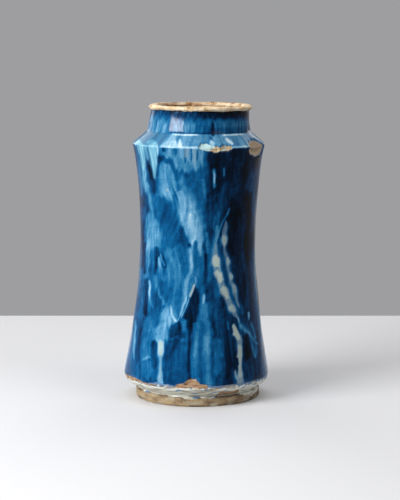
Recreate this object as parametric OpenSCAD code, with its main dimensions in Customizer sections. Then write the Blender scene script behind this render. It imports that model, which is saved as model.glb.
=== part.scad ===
// Albarello: a tall waisted drug jar in earthenware under a running blue glaze.
// The jar is built as a potter builds it: thrown sections luted together along
// bevelled seams, then a pale slip ground, the blue glaze over it and a lining inside.
// Millimetres. The origin is the centre of the resting face, +Z is up, the front faces -Y.

/* [Body] */
// Diameter of the widest edge, just above the foot
edge_d = 143; // [138:0.5:152]
// Height of the widest edge above the resting face
edge_z = 21; // [19:0.5:26]
// Rounding under the widest edge
edge_round = 6; // [4:0.5:8]
// Slope of the underside from the widest edge to the foot, in degrees
underside_slope = 31; // [24:1:34]
// Angle at which the trimmed underside meets the rounding of the edge
underside_crease = 15; // [8:1:20]
// Height of the body, from the widest edge to the shoulder's edge
body_h = 230; // [200:1:260]
// Diameter of the waist
waist_d = 112.8; // [108:0.2:120]
// Diameter of the shoulder's edge
shoulder_d = 130; // [126:0.5:142]
// Height of the sloping shoulder
shoulder_h = 11.5; // [7:0.5:14]

/* [Neck] */
// Diameter of the neck where it leaves the shoulder
neck_base_d = 100; // [97:0.5:108]
// Diameter of the neck under the lip
neck_top_d = 96.4; // [94:0.2:101]
// Height of the neck, from the shoulder to the lip
neck_h = 21.5; // [16:0.5:34]
// Overhang of the turned-out lip over the neck
lip_overhang = 2.3; // [1.2:0.1:4]
// Height of the lip
lip_h = 4.5; // [4:0.5:8]
// Thickness of the neck's clay under the lip
neck_t = 4.5; // [4:0.1:8]
// Rounding of the mouth's inner edge
mouth_round = 2; // [1:0.25:3]

/* [Foot] */
// Diameter of the foot ring
foot_d = 122; // [118:0.5:128]
// Height of the foot ring, which is also the depth of the hollow inside it
foot_h = 9.5; // [7:0.5:11]
// Width of the foot ring
foot_w = 13; // [9:0.5:18]
// Rounding of the foot ring's lower edges
foot_round = 2.5; // [1:0.25:4]
// Width of the ledge that the foot ring makes round the base
foot_ledge = 1.5; // [0.5:0.25:3]

/* [Walls] */
// Thickness of the clay wall
wall_t = 7.5; // [5:0.5:9]
// Thickness of the floor
floor_t = 8.5; // [6:0.5:12]
// Radius of the cove where the wall meets the floor inside
cove_r = 15; // [10:0.5:20]
// Depth to which the cove runs into the floor and the wall
cove_bite = 0.5; // [0.2:0.1:1]
// Slope of the luted seams, which rise from the outside to the inside, in degrees
seam_bevel = 15; // [5:1:20]
// Height of the luted seams above the widest edge and above the foot of the neck
seam_rise = 3; // [2:0.5:5]
// Drop of the luted seam under the shoulder's edge
seam_drop = 9; // [8:0.5:14]

/* [Coats] */
// Thickness of the pale slip ground
slip_t = 0.4; // [0.2:0.1:0.6]
// Thickness of the blue glaze
glaze_t = 0.8; // [0.5:0.1:1.2]
// Thickness of the lining inside
lining_t = 0.4; // [0.2:0.1:0.8]
// Clearance between a coat and what it lies on
coat_gap = 0.1; // [0.05:0.05:0.15]
// Drop from the widest edge to the lower end of the blue glaze
glaze_drop = 3.5; // [2:0.25:4]

/* [Chips] */
// Direction of the large shoulder chip, in degrees from the front to the right
side_chip_turn = 60; // [0:1:359]
// Width of the large shoulder chip
side_chip_w = 25; // [12:0.5:32]
// Depth of the large shoulder chip
side_chip_depth = 4.5; // [2:0.25:6]
// Direction of the first of the two small shoulder chips, in degrees from the front
front_chip_turn = 9; // [0:1:359]
// Angle between the two small shoulder chips
front_chip_step = 14; // [10:1:20]
// Width of each small shoulder chip
front_chip_w = 18; // [8:0.5:22]
// Depth of each small shoulder chip
front_chip_depth = 2.2; // [1.5:0.1:3]
// Direction of the chip on the widest edge, in degrees from the front
edge_chip_turn = -2; // [-180:1:180]
// Width of the chip on the widest edge
edge_chip_w = 26; // [12:0.5:32]
// Depth of the chip on the widest edge
edge_chip_depth = 2.4; // [1.5:0.1:4]

/* [Hidden] */
$fn = 128;
// Segments of the wall's long arc, taken round its full circle
wall_fn = 720;

CLAY = "burlywood";
GROUND = "antiquewhite";
BLUE = "steelblue";

// Radii of the glazed surface
edge_r = edge_d / 2;
waist_r = waist_d / 2;
shoulder_r = shoulder_d / 2;
neck_base_r = neck_base_d / 2;
neck_top_r = neck_top_d / 2;
lip_r = neck_top_r + lip_overhang;
mouth_r = neck_top_r - glaze_t - slip_t - neck_t;
foot_r = foot_d / 2;
foot_neck_r = foot_r - foot_ledge;

// Levels, stacked from the foot to the lip
shoulder_z = edge_z + body_h;
neck_z = shoulder_z + shoulder_h;
lip_z = neck_z + neck_h;
top_z = lip_z + lip_h;
floor_z = foot_h + floor_t;
glaze_foot_z = edge_z - glaze_drop;

// Depth of the slip and of the clay's two faces under the glazed surface
slip_depth = glaze_t;
clay_depth = glaze_t + slip_t;
inner_depth = clay_depth + wall_t;

// The wall is one arc from the widest edge to the shoulder's edge, upright at the waist between them
function arc_radius(rise, run) = (rise * rise + run * run) / (2 * run);
edge_flare = edge_r - waist_r;
shoulder_flare = shoulder_r - waist_r;
flare_term = body_h * body_h - shoulder_flare * (edge_flare - shoulder_flare);
waist_h = flare_term / (body_h + sqrt(body_h * body_h - (1 - shoulder_flare / edge_flare) * flare_term));
waist_z = edge_z + waist_h;
wall_arc = arc_radius(waist_h, edge_flare);

// Radius of the wall and of the neck at height z, at some depth under the glazed surface
function wall_radius(z, depth) =
    waist_r + wall_arc - sqrt(pow(wall_arc + depth, 2) - pow(z - waist_z, 2));
function neck_radius(z, depth) =
    neck_base_r - depth - (neck_base_r - neck_top_r) * (z - neck_z) / neck_h;

// Level of the shoulder's slope at some radius, at some depth under the glazed surface
shoulder_fall = shoulder_h / (shoulder_r - neck_base_r);
function shoulder_level(radius, depth) =
    shoulder_z + (shoulder_r - radius) * shoulder_fall - depth * sqrt(1 + shoulder_fall * shoulder_fall);

// Level at which the mouth opens into the body, under a shoulder as thick as the wall
throat_z = shoulder_level(mouth_r, inner_depth);

// The bead of the widest edge laps up over the foot of the wall, furthest out at this height
edge_lap = edge_round * waist_h / (wall_arc - edge_flare);

// Luted seams: level and radius of each on the outside of the clay
edge_seam_z = edge_z + seam_rise;
edge_seam_r = wall_radius(edge_seam_z, clay_depth);
shoulder_seam_z = shoulder_z - seam_drop;
shoulder_seam_r = wall_radius(shoulder_seam_z, clay_depth);
neck_seam_z = neck_z + seam_rise;
neck_seam_r = neck_radius(neck_seam_z, clay_depth);

// Lean of the chips from level: half way between the two faces that meet at each edge
shoulder_chip_lean = (90 - atan(shoulder_fall)) / 2;
edge_chip_lean = (underside_slope - 90) / 2;

// Larger than the jar, for shapes that cut right through it
beyond = 2 * edge_d;

// Region from the axis out to the waisted wall, above some level and under the shoulder's slope
module wall_field(depth, low_z) {
    difference() {
        polygon([
            [0, low_z],
            [edge_d, low_z],
            [edge_d, shoulder_level(edge_d, depth)],
            [mouth_r, shoulder_level(mouth_r, depth)],
            [0, shoulder_level(mouth_r, depth)]
        ]);
        translate([waist_r + wall_arc, waist_z]) circle(wall_arc + depth, $fn = wall_fn);
    }
}

// Region from the axis out to the neck, from inside the shoulder up to the lip
module neck_field(depth) {
    polygon([
        [0, shoulder_z],
        [neck_radius(shoulder_z, depth), shoulder_z],
        [neck_radius(lip_z, depth), lip_z],
        [0, lip_z]
    ]);
}

// Region from the axis out to the bead of the widest edge and the trimmed underside, down to the
// foot ring. The underside is a chord of the bead's rounding, so the two meet at a crisp line.
module base_field(depth) {
    round_x = edge_r - edge_round;
    round_r = edge_round - depth;
    chord = edge_round * cos(underside_crease) - depth;
    chord_x = round_x + chord * sin(underside_slope);
    chord_z = edge_z - chord * cos(underside_slope);
    foot_x = foot_neck_r - depth;
    intersection() {
        union() {
            translate([round_x, edge_z]) circle(round_r);
            square([round_x + round_r * sin(underside_slope), edge_z + round_r / 2]);
        }
        polygon([
            [0, foot_h],
            [foot_x, foot_h],
            [foot_x, chord_z - (chord_x - foot_x) * tan(underside_slope)],
            [chord_x + (waist_z - chord_z) / tan(underside_slope), waist_z],
            [0, waist_z]
        ]);
    }
}

// Region of the whole jar between the foot ring and the lip
module jar_field(depth) {
    base_field(depth);
    wall_field(depth, edge_z + edge_lap);
    neck_field(depth);
}

// Region of the hollow under the throat, with some coat on the clay. The cove runs a little way
// into the floor and the wall, so that it meets them at faint lines, as a throwing rib leaves it.
module hollow_field(coat) {
    depth = inner_depth + coat;
    low_z = floor_z + coat;
    cove = cove_r - coat;
    cove_z = low_z + cove - cove_bite;
    cove_x = wall_radius(cove_z, depth) - cove + cove_bite;
    intersection() {
        wall_field(depth, low_z);
        union() {
            translate([cove_x, cove_z]) circle(cove);
            square([cove_x, waist_z]);
            translate([0, cove_z]) square([edge_d, top_z]);
        }
    }
}

// Region of the mouth, a straight bore from just under the throat up through the lip
module mouth_field() {
    low_z = throat_z - wall_t;
    translate([0, low_z]) square([mouth_r, top_z - low_z]);
}

// Section of all the clay between the foot ring and the lip
module clay_field() {
    difference() {
        jar_field(clay_depth);
        hollow_field(0);
        mouth_field();
    }
}

// Everything above a luted seam, which starts at a level and radius outside and rises inwards
module above_seam(level, radius) {
    rise = tan(seam_bevel);
    polygon([
        [0, level + radius * rise],
        [beyond, level + (radius - beyond) * rise],
        [beyond, top_z + beyond],
        [0, top_z + beyond]
    ]);
}

// Section of a coat from its outer face in to what it lies on
module coat_field(outer_depth, ground_depth) {
    difference() {
        jar_field(outer_depth);
        jar_field(ground_depth - coat_gap);
    }
}

// The waste outside a rounded corner whose material lies towards +X and +Y
module corner_waste(radius) {
    difference() {
        square(radius);
        translate([radius, radius]) circle(radius);
    }
}

// A conchoidal scar: a ball that bites a hollow of some width and depth at a jar's edge
module scar(turn, radius, level, lean, width, depth) {
    ball_r = (width * width / 4 + depth * depth) / (2 * depth);
    rotate([0, 0, turn])
        translate([0, -radius, level])
            rotate([-lean, 0, 0])
                translate([0, depth - ball_r, 0])
                    sphere(ball_r);
}

module shoulder_scars() {
    scar(side_chip_turn, shoulder_r, shoulder_z, shoulder_chip_lean, side_chip_w, side_chip_depth);
    for (turn = [front_chip_turn, front_chip_turn + front_chip_step])
        scar(turn, shoulder_r, shoulder_z, shoulder_chip_lean, front_chip_w, front_chip_depth);
}

module edge_scar() {
    scar(edge_chip_turn, edge_r, edge_z, edge_chip_lean, edge_chip_w, edge_chip_depth);
}

// Turned ring of bare clay that the jar stands on
module foot_ring() {
    color(CLAY)
        rotate_extrude()
            difference() {
                translate([foot_r - foot_w, 0]) square([foot_w, foot_h]);
                translate([foot_r - foot_w, 0]) corner_waste(foot_round);
                translate([foot_r, 0]) mirror([1, 0]) corner_waste(foot_round);
            }
}

// Floor of the jar with its upturned edge, luted on the foot ring
module base_dish() {
    color(CLAY)
        difference() {
            rotate_extrude()
                difference() {
                    clay_field();
                    above_seam(edge_seam_z, edge_seam_r);
                }
            edge_scar();
        }
}

// Thrown waisted wall, turned in under the shoulder
module body_wall() {
    color(CLAY)
        difference() {
            rotate_extrude()
                difference() {
                    intersection() {
                        clay_field();
                        above_seam(edge_seam_z, edge_seam_r);
                    }
                    above_seam(shoulder_seam_z, shoulder_seam_r);
                }
            edge_scar();
            shoulder_scars();
        }
}

// Sloping shoulder with its sharp edge
module shoulder_ring() {
    color(CLAY)
        difference() {
            rotate_extrude()
                difference() {
                    intersection() {
                        clay_field();
                        above_seam(shoulder_seam_z, shoulder_seam_r);
                    }
                    above_seam(neck_seam_z, neck_seam_r);
                }
            shoulder_scars();
        }
}

// Upright neck, a little narrower at the top
module neck_collar() {
    color(CLAY)
        rotate_extrude()
            intersection() {
                clay_field();
                above_seam(neck_seam_z, neck_seam_r);
            }
}

// Half-round lip that stands out over the neck, for the cord of a cloth cover to catch under
module rim_lip() {
    roll_r = lip_h / 2;
    color(CLAY)
        rotate_extrude()
            difference() {
                union() {
                    translate([mouth_r, lip_z]) square([lip_r - roll_r - mouth_r, lip_h]);
                    translate([lip_r - roll_r, lip_z + roll_r]) circle(roll_r);
                }
                translate([mouth_r, top_z]) mirror([0, 1]) corner_waste(mouth_round);
            }
}

// Pale slip on the clay from the foot ring to the lip, bare below the glaze
module ground_slip() {
    color(GROUND)
        difference() {
            rotate_extrude() coat_field(slip_depth, clay_depth);
            edge_scar();
            shoulder_scars();
        }
}

// Blue glaze over the slip, from under the lip to just below the widest edge
module blue_glaze() {
    color(BLUE)
        difference() {
            rotate_extrude()
                intersection() {
                    coat_field(0, slip_depth);
                    translate([0, glaze_foot_z]) square([edge_d, lip_z - glaze_foot_z]);
                }
            edge_scar();
            shoulder_scars();
        }
}

// Thin pale glaze that seals the inside, from the floor to the throat
module inner_lining() {
    color(GROUND)
        rotate_extrude()
            difference() {
                hollow_field(coat_gap);
                hollow_field(lining_t);
                mouth_field();
            }
}

foot_ring();
base_dish();
body_wall();
shoulder_ring();
neck_collar();
rim_lip();
ground_slip();
blue_glaze();
inner_lining();
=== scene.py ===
import bpy
import numpy as np
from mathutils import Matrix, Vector


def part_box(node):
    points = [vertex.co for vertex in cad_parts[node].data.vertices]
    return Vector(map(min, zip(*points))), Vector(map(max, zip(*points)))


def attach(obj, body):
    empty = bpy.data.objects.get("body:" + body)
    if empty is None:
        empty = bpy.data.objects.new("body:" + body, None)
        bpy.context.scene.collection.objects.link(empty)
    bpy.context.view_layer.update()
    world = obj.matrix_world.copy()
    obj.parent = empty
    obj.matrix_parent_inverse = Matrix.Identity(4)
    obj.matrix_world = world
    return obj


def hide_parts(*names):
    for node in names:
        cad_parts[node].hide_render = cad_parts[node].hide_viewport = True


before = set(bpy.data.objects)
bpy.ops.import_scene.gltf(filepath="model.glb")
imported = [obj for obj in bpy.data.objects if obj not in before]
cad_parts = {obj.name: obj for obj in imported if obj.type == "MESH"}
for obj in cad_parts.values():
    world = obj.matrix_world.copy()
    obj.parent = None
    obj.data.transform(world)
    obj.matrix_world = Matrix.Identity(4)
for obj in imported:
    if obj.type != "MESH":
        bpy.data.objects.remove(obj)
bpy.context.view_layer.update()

# Foot ring: the low ring of buff earthenware that the jar stands on.
# Thrown with the base and trimmed when leather hard, then left bare: it shows turning lines,
# small knocks and grey-brown stains from long use.
MM = 0.001
MEAN_R = 62
lean_levels = (0, 9, 21, 100, 150, 200, 251, 272, 290)
lean_shifts = (1.4, 1.2, 0.0, 1.4, 1.6, 2.3, 2.4, 2.9, 4.9)
TILT = 0.0112
TILT_FULL_FROM = 40
foot_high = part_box("foot_ring")[1]
foot_r = foot_high.x / MM
foot_top = foot_high.z / MM
foot_w = 13.0
turning_pitch = 2.4


def linear(code):
    """An sRGB hex colour as linear light with full alpha."""
    part = np.array([int(code[k:k + 2], 16) for k in (1, 3, 5)]) / 255
    part = np.where(part <= 0.04045, part / 12.92, ((part + 0.055) / 1.055) ** 2.4)
    return (*part.tolist(), 1.0)


def add(tree, kind, inputs={}, stops=(), **settings):
    """One shader node: its settings, then its inputs, each a plain value or another node's socket."""
    node = tree.nodes.new(kind)
    for key, value in settings.items():
        setattr(node, key, value)
    for key, value in inputs.items():
        if isinstance(value, bpy.types.NodeSocket):
            tree.links.new(value, node.inputs[key])
        else:
            node.inputs[key].default_value = value
    for k, (place, code) in enumerate(stops):
        marks = node.color_ramp.elements
        mark = marks[k] if k < 2 else marks.new(place)
        mark.position = place
        mark.color = linear(code)
    return node


def waves(turn, height, across, along, seed, count=28):
    """Uneven field of spread 1: a sum of sine waves of about the given lengths in mm across and along
    the wall, each with a whole number of periods round the jar so that it meets itself."""
    rng = np.random.default_rng(seed)
    slant = rng.uniform(0, 2 * np.pi, count)
    stretch = rng.uniform(0.7, 1.4, count)
    periods = np.round(2 * np.pi * MEAN_R / across * np.cos(slant) * stretch)
    rises = 2 * np.pi / along * np.sin(slant) * stretch
    starts = rng.uniform(0, 2 * np.pi, count)
    total = np.zeros(np.broadcast(turn, height).shape)
    for period, rise, start in zip(periods, rises, starts):
        total += np.sin(period * turn + rise * height + start)
    return total / np.sqrt(count / 2)


def smooth(low, high, value):
    """Rises from 0 at low to 1 at high with level ends."""
    part = np.clip((value - low) / (high - low), 0, 1)
    return part * part * (3 - 2 * part)


def walk(corners, step, rounds=0, closed=False):
    """Even steps along an outline of (radius, height) corners;
    each round of averaging softens the corners."""
    corners = np.array(corners + corners[:1] if closed else corners, float)
    along = np.r_[0, np.cumsum(np.hypot(*np.diff(corners, axis=0).T))]
    places = np.linspace(0, along[-1], int(round(along[-1] / step)) + 1)
    path = np.column_stack([np.interp(places, along, corners[:, k]) for k in (0, 1)])
    path = path[:-1] if closed else path
    for _ in range(rounds):
        mean = (np.roll(path, 1, 0) + 2 * path + np.roll(path, -1, 0)) / 4
        path = mean if closed else np.vstack([path[:1], mean[1:-1], path[-1:]])
    return path


def outward(path, closed=False):
    """Unit normals of an outline that runs up its outer side: the step to the next point turned a quarter."""
    step = np.roll(path, -1, 0) - np.roll(path, 1, 0) if closed else np.gradient(path, axis=0)
    return np.column_stack([step[:, 1], -step[:, 0]]) / np.hypot(step[:, 0], step[:, 1])[:, None]


def columns(count, front=0.0):
    """Angles round the jar from the front, closer together at the front by the given share."""
    even = np.linspace(-np.pi, np.pi, count, endpoint=False)
    return even - front * np.sin(even)


def spun(name, turn, radius, height, node, slot, material, **paint):
    """Turned piece: row i, column j stands at radius[i, j] and height[i, j] in mm, turn[j] round the axis.
    The rows close into a loop, or run from pole to pole when the first radius is 0.
    The axis leans and tilts."""
    rows, count = radius.shape
    side = radius * np.sin(turn)
    x = side + np.interp(height, lean_levels, lean_shifts)
    z = height - TILT * side * np.minimum(height / TILT_FULL_FROM, 1)
    points = np.stack([x, -radius * np.cos(turn), z], -1).reshape(-1, 3) * MM
    ring = np.arange(rows * count).reshape(rows, count)
    if radius[0].max() == 0:
        ring[0] = ring[0, 0]
        ring[-1] = ring[-1, 0]
    else:
        ring = np.vstack([ring, ring[:1]])
    used = np.unique(ring)
    ring = np.searchsorted(used, ring)
    beside = np.roll(ring, -1, 1)
    quads = np.stack([ring[:-1], beside[:-1], beside[1:], ring[1:]], -1).reshape(-1, 4)
    start = quads[:, 0] == quads[:, 1]
    end = quads[:, 2] == quads[:, 3]
    faces = quads[~start & ~end].tolist() + quads[start][:, [0, 2, 3]].tolist() + quads[end][:, :3].tolist()
    mesh = bpy.data.meshes.new(name)
    mesh.from_pydata(points[used], [], faces)
    mesh.polygons.foreach_set("use_smooth", np.ones(len(faces), bool))
    for key, values in paint.items():
        layer = mesh.attributes.new(key, "FLOAT", "POINT")
        spread = np.broadcast_to(values, (rows, count)).ravel()[used]
        layer.data.foreach_set("value", spread.astype(np.float32))
    mesh.materials.append(material)
    piece = bpy.data.objects.new(name, mesh)
    bpy.context.scene.collection.objects.link(piece)
    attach(piece, "root")
    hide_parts(node)


def earthenware(name, body, stain, pale, grain=0.6, depth=0.35):
    """Bare fired clay: body colour with sandy grain, mixed with the stain and pale colours
    where the piece's attributes of those names say so; grain and depth are in mm."""
    material = bpy.data.materials.new(name)
    material.use_nodes = True
    tree = material.node_tree
    shader = tree.nodes["Principled BSDF"]
    shader.inputs["Roughness"].default_value = 0.85
    place = add(tree, "ShaderNodeTexCoord").outputs["Object"]
    sand = add(tree, "ShaderNodeTexNoise", {"Vector": place, "Scale": 1 / (grain * MM), "Detail": 4.0})
    cloud = add(tree, "ShaderNodeTexNoise", {"Vector": place, "Scale": 1 / (9 * MM), "Detail": 6.0})
    uneven = add(tree, "ShaderNodeMath", {0: cloud.outputs["Fac"], 1: sand.outputs["Fac"]}, operation="ADD")
    shade = {}
    for key in ("stain", "pale"):
        where = add(tree, "ShaderNodeAttribute", attribute_name=key).outputs["Fac"]
        lifted = add(tree, "ShaderNodeMath", {0: uneven.outputs[0], 1: where}, operation="MULTIPLY")
        shade[key] = add(tree, "ShaderNodeMapRange",
                         {"Value": lifted.outputs[0], "From Min": 0.15, "From Max": 0.85}).outputs[0]
    grains = add(tree, "ShaderNodeMapRange",
                 {"Value": sand.outputs["Fac"], "From Min": 0.35, "From Max": 0.65})
    base = add(tree, "ShaderNodeMix",
               {"Factor": grains.outputs[0], "A": linear(body[0]), "B": linear(body[1])}, data_type="RGBA")
    dirty = add(tree, "ShaderNodeMix", {"Factor": shade["stain"], "A": base.outputs[2], "B": linear(stain)},
                data_type="RGBA")
    light = add(tree, "ShaderNodeMix", {"Factor": shade["pale"], "A": dirty.outputs[2], "B": linear(pale)},
                data_type="RGBA")
    tree.links.new(light.outputs[2], shader.inputs["Base Color"])
    rough = add(tree, "ShaderNodeBump",
                {"Height": sand.outputs["Fac"], "Distance": depth * MM, "Strength": 0.5})
    tree.links.new(rough.outputs["Normal"], shader.inputs["Normal"])
    return material


turn = columns(480)
path = walk([(foot_r - foot_w, 0), (foot_r - 0.6, 0), (foot_r, 1.0), (foot_r, foot_top),
             (foot_r - foot_w, foot_top)], 0.9, 2, closed=True)
height = path[:, 1:]
face = outward(path, closed=True)
lift = np.clip(height / 3, 0, 1)
worn = 0.30 * waves(turn, height, 40, 12, 3) + 0.12 * waves(turn, height, 7, 5, 4)
worn = worn + 0.14 * np.sin(2 * np.pi * height / turning_pitch + 2 * waves(turn, 0, 90, 90, 5))
radius = path[:, :1] + face[:, :1] * worn - 0.4 * (1 - lift) * np.abs(waves(turn, 0, 14, 14, 6))
# Stains on the foot. The sine term also makes its right and back side darker: painted shade on the side away
# from the light.
brown = 0.5 + 0.25 * np.sin(turn - 0.4) + 0.15 * waves(turn, height, 18, 9, 8) + 0.3 * (1 - lift)
# A brown band along the top of the foot ring, under the step of the slip band: painted shade.
brown = brown + 0.5 * smooth(foot_top - 1.4, foot_top - 0.6, height)
brown = brown + 0.07 * waves(turn, height, 5, 4, 10)
chalky = 0.16 + 0.20 * waves(turn, height, 18, 8, 9)
foot_clay = earthenware("buff earthenware foot", ("#ab9470", "#917a58"), "#665440", "#a9a391", 1.1, 0.35)
spun("foot-ring", turn, radius, height + 0 * turn, "foot_ring", "bare_clay", foot_clay,
     stain=brown, pale=chalky)

# Base dish: the thick floor of the jar with the flaring underside and the sharp bottom edge of the body.
# Buff earthenware, thrown on the wheel; the front of the edge has a long scar where the glaze broke away.
edge_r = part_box("blue_glaze")[1].x / MM
edge_z = 21.0
floor_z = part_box("inner_lining")[0].z / MM
shoulder_z = 251.0
shoulder_r = 65.0
waist_r = 56.6
waist_z = 152.1
wall_arc = 576.6
fullness = 1.5
slimness = 0.8
glaze_t = 0.8
slip_t = 0.4
coats_t = glaze_t + slip_t
wall_t = 7.5
dish_top = 36.0
LARGE_CHIP = 7.9
# A chip is its turn in degrees, its height, half its width, half its height and its depth in mm.
chips = [
    (-3.0, 22.0, 14.5, 3.2, 1.0),
    (-3.6, 23.2, 8.0, 6.2, 1.4),
    (-63.0, 20.8, 19.0, 2.6, 0.8),
    (64.0, 248.6, 16.0, 7.8, 3.4),
    (7.2, 250.9, 7.6, 3.9, 0.6),
    (14.4, 249.6, 5.4, 3.2, 1.4),
    (23.8, 250.5, 6.6, 3.1, 1.6),
]


def wall(z):
    """Outer radius of the glazed wall: an arc with its waist at waist_z, a little fuller below it
    and a little slimmer just under the shoulder."""
    arc = waist_r + wall_arc - np.sqrt(wall_arc ** 2 - (z - waist_z) ** 2)
    below = np.clip((z - edge_z) / (waist_z - edge_z), 0, 1)
    above = np.clip((z - waist_z) / (shoulder_z - waist_z), 0, 1)
    return arc + fullness * np.sin(np.pi * below ** 0.6) - slimness * np.sin(np.pi * above ** 2.5)


def broken(turn, height):
    """Depth in chips: for each chip 1 at its middle falling to 0 at its ragged rim and below 0 outside;
    gives the highest of them and the clay depth lost in mm."""
    ragged = 0.10 * waves(turn, height, 11, 9, 21) + 0.05 * waves(turn, height, 4, 3.5, 22)
    inside = np.full(np.broadcast(turn, height).shape, -9.0)
    lost = np.zeros(inside.shape)
    for middle, level, wide, tall, deep in chips:
        off = (turn - np.radians(middle) + np.pi) % (2 * np.pi) - np.pi
        edge = ragged * (0.4 if wide > LARGE_CHIP else 1.7)
        here = 1 - np.hypot(off * shoulder_r / wide, (height - level) / tall) + edge
        inside = np.maximum(inside, here)
        lost = np.maximum(lost, deep * smooth(-0.05, 0.45, here))
    return inside, lost


def clay_face(path, turn, depth):
    """The clay under the coats: the outline sunk by the coats and by the chips, which are rough."""
    height = path[:, 1:]
    inside, lost = broken(turn, height)
    rough = 0.07 * waves(turn, height, 2.6, 2.2, 23) + 0.13 * waves(turn, height, 7, 4, 24)
    sunk = depth + lost - rough * (0.7 + 0.35 * lost) * smooth(0, 0.3, inside)
    face = outward(path)
    return path[:, :1] - face[:, :1] * sunk, height - face[:, 1:] * sunk, inside


rise = np.arange(edge_z + 1, dish_top, 0.8)
under = [(foot_r - 1.5, foot_top), (62.0, 11.5), (68.6, 15.5), (70.9, 17.4), (71.7, 19.6),
         (edge_r + 0.4, edge_z)]
outer = walk(under + list(zip(wall(rise), rise)), 0.7, 2)
turn = columns(600, 0.3)
radius, height, inside = clay_face(outer, turn, coats_t)
inner = walk([(wall(dish_top) - wall_t - coats_t, dish_top), (60.2, 30), (57.0, 23), (51, 18.5),
              (46, floor_z + 0.3), (0, floor_z + 0.3)], 3.0, 1)
bottom = walk([(0, foot_top), (foot_r - 1.5, foot_top)], 6.0)[:-1]
flat = np.ones_like(turn)
radius = np.vstack([bottom[:, :1] * flat, radius, inner[:, :1] * flat])
height = np.vstack([bottom[:, 1:] * flat, height, inner[:, 1:] * flat])
bare = np.vstack([-flat * np.ones((len(bottom), 1)), inside, -flat * np.ones((len(inner), 1))])
brown = 0.25 + 0.30 * waves(turn, height, 10, 2.0, 31) + 0.2 * smooth(0.10, 0.0, bare)
dish_clay = earthenware("buff earthenware base", ("#b59270", "#93765a"), "#5c4431", "#c9b596", 0.9, 0.8)
spun("base-dish", turn, radius, height, "base_dish", "bare_clay", dish_clay, stain=brown,
     pale=0.12 + 0.15 * waves(turn, height, 12, 6, 32))

# Body wall: the tall concave wall between base and shoulder, buff earthenware thrown in one pull.
# Every face of it is coated, so it only carries the coats and closes the shape under them.
wall_top = 240.0
rise = np.linspace(dish_top, wall_top, 52)
outer = np.column_stack([wall(rise) - coats_t, rise])
path = np.vstack([outer, outer[::-1] - [wall_t, 0]])
turn = columns(144)
flat = np.ones_like(turn)
wall_clay = earthenware("buff earthenware wall", ("#b98f68", "#9c7a5c"), "#6f4e37", "#cdbb9c")
spun("body-wall", turn, path[:, :1] * flat, path[:, 1:] * flat, "body_wall", "bare_clay", wall_clay,
     stain=0.2, pale=0.1)

# Shoulder ring: the sharp shoulder and the slope up to the neck, buff earthenware turned to an edge.
# That edge has taken knocks: a deep grey scar at the side and three shallow fresher ones at the front.
neck_r = 50.7
neck_top_r = 47.8
neck_z = 262.5
lip_low, lip_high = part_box("rim_lip")
lip_z = lip_low.z / MM
top_z = lip_high.z / MM - 0.1
mouth_r = 42.5
rise = np.arange(wall_top, shoulder_z - 0.4, 1.0)
slope = [(shoulder_r - 0.1, shoulder_z - 0.5), (shoulder_r - 0.5, shoulder_z + 0.2),
         (neck_r + 1.2, neck_z - 0.7), (neck_r, neck_z)]
neck_hollow = 0.45
outer = walk(list(zip(wall(rise), rise)) + slope, 0.55, 1)
turn = columns(640, 0.3)
radius, height, inside = clay_face(outer, turn, coats_t)
inner = walk([(mouth_r + 0.4, neck_z), (mouth_r + 0.4, 256.0), (55.0, 246.0),
              (wall(wall_top) - wall_t - coats_t, wall_top)], 2.5)
flat = np.ones_like(turn)
radius = np.vstack([radius, inner[:, :1] * flat])
height = np.vstack([height, inner[:, 1:] * flat])
inside = np.vstack([inside, -flat * np.ones((len(inner), 1))])
degrees = np.degrees(turn)
weathered = smooth(36, 42, degrees) * np.ones(radius.shape)
weathered = weathered * (0.7 + 0.3 * waves(turn, height, 4, 3.5, 41)) + 0.4 * smooth(0.08, 0.0, inside)
chalky = 1.3 * smooth(14, 9, np.abs(degrees - 1) + 0.9 * (shoulder_z - height))
chalky = chalky + 0.15 * waves(turn, height, 6, 5, 42)
# Chip C, near 22 degrees, is painted paler: painted light that lifts it where it renders shaded.
chalky = chalky + 0.35 * np.exp(-((degrees - 22) / 5) ** 2)
shoulder_clay = earthenware("buff earthenware shoulder",
                            ("#d0bc98", "#bc9f78"), "#bfa993", "#b4d4d6", 0.9, 0.5)
spun("shoulder-ring", turn, radius, height, "shoulder_ring", "bare_clay", shoulder_clay,
     stain=weathered, pale=chalky)

# Neck collar: the short upright neck that a cloth or parchment cover was tied round.
# Buff earthenware, thrown with the shoulder; glazed outside, coated thinly inside.
rise = np.linspace(neck_z, lip_z, 14)
outer = np.column_stack([np.interp(rise, [neck_z, lip_z], [neck_r, neck_top_r]) - coats_t, rise])
inner = np.column_stack([np.full(14, mouth_r + 0.4), rise[::-1]])
path = np.vstack([outer, inner])
turn = columns(240)
flat = np.ones_like(turn)
neck_clay = earthenware("buff earthenware neck", ("#c2a57f", "#a98a66"), "#7a5c40", "#cdbb9c")
spun("neck-collar", turn, path[:, :1] * flat, path[:, 1:] * flat, "neck_collar", "bare_clay", neck_clay,
     stain=0.4, pale=0.1)

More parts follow.
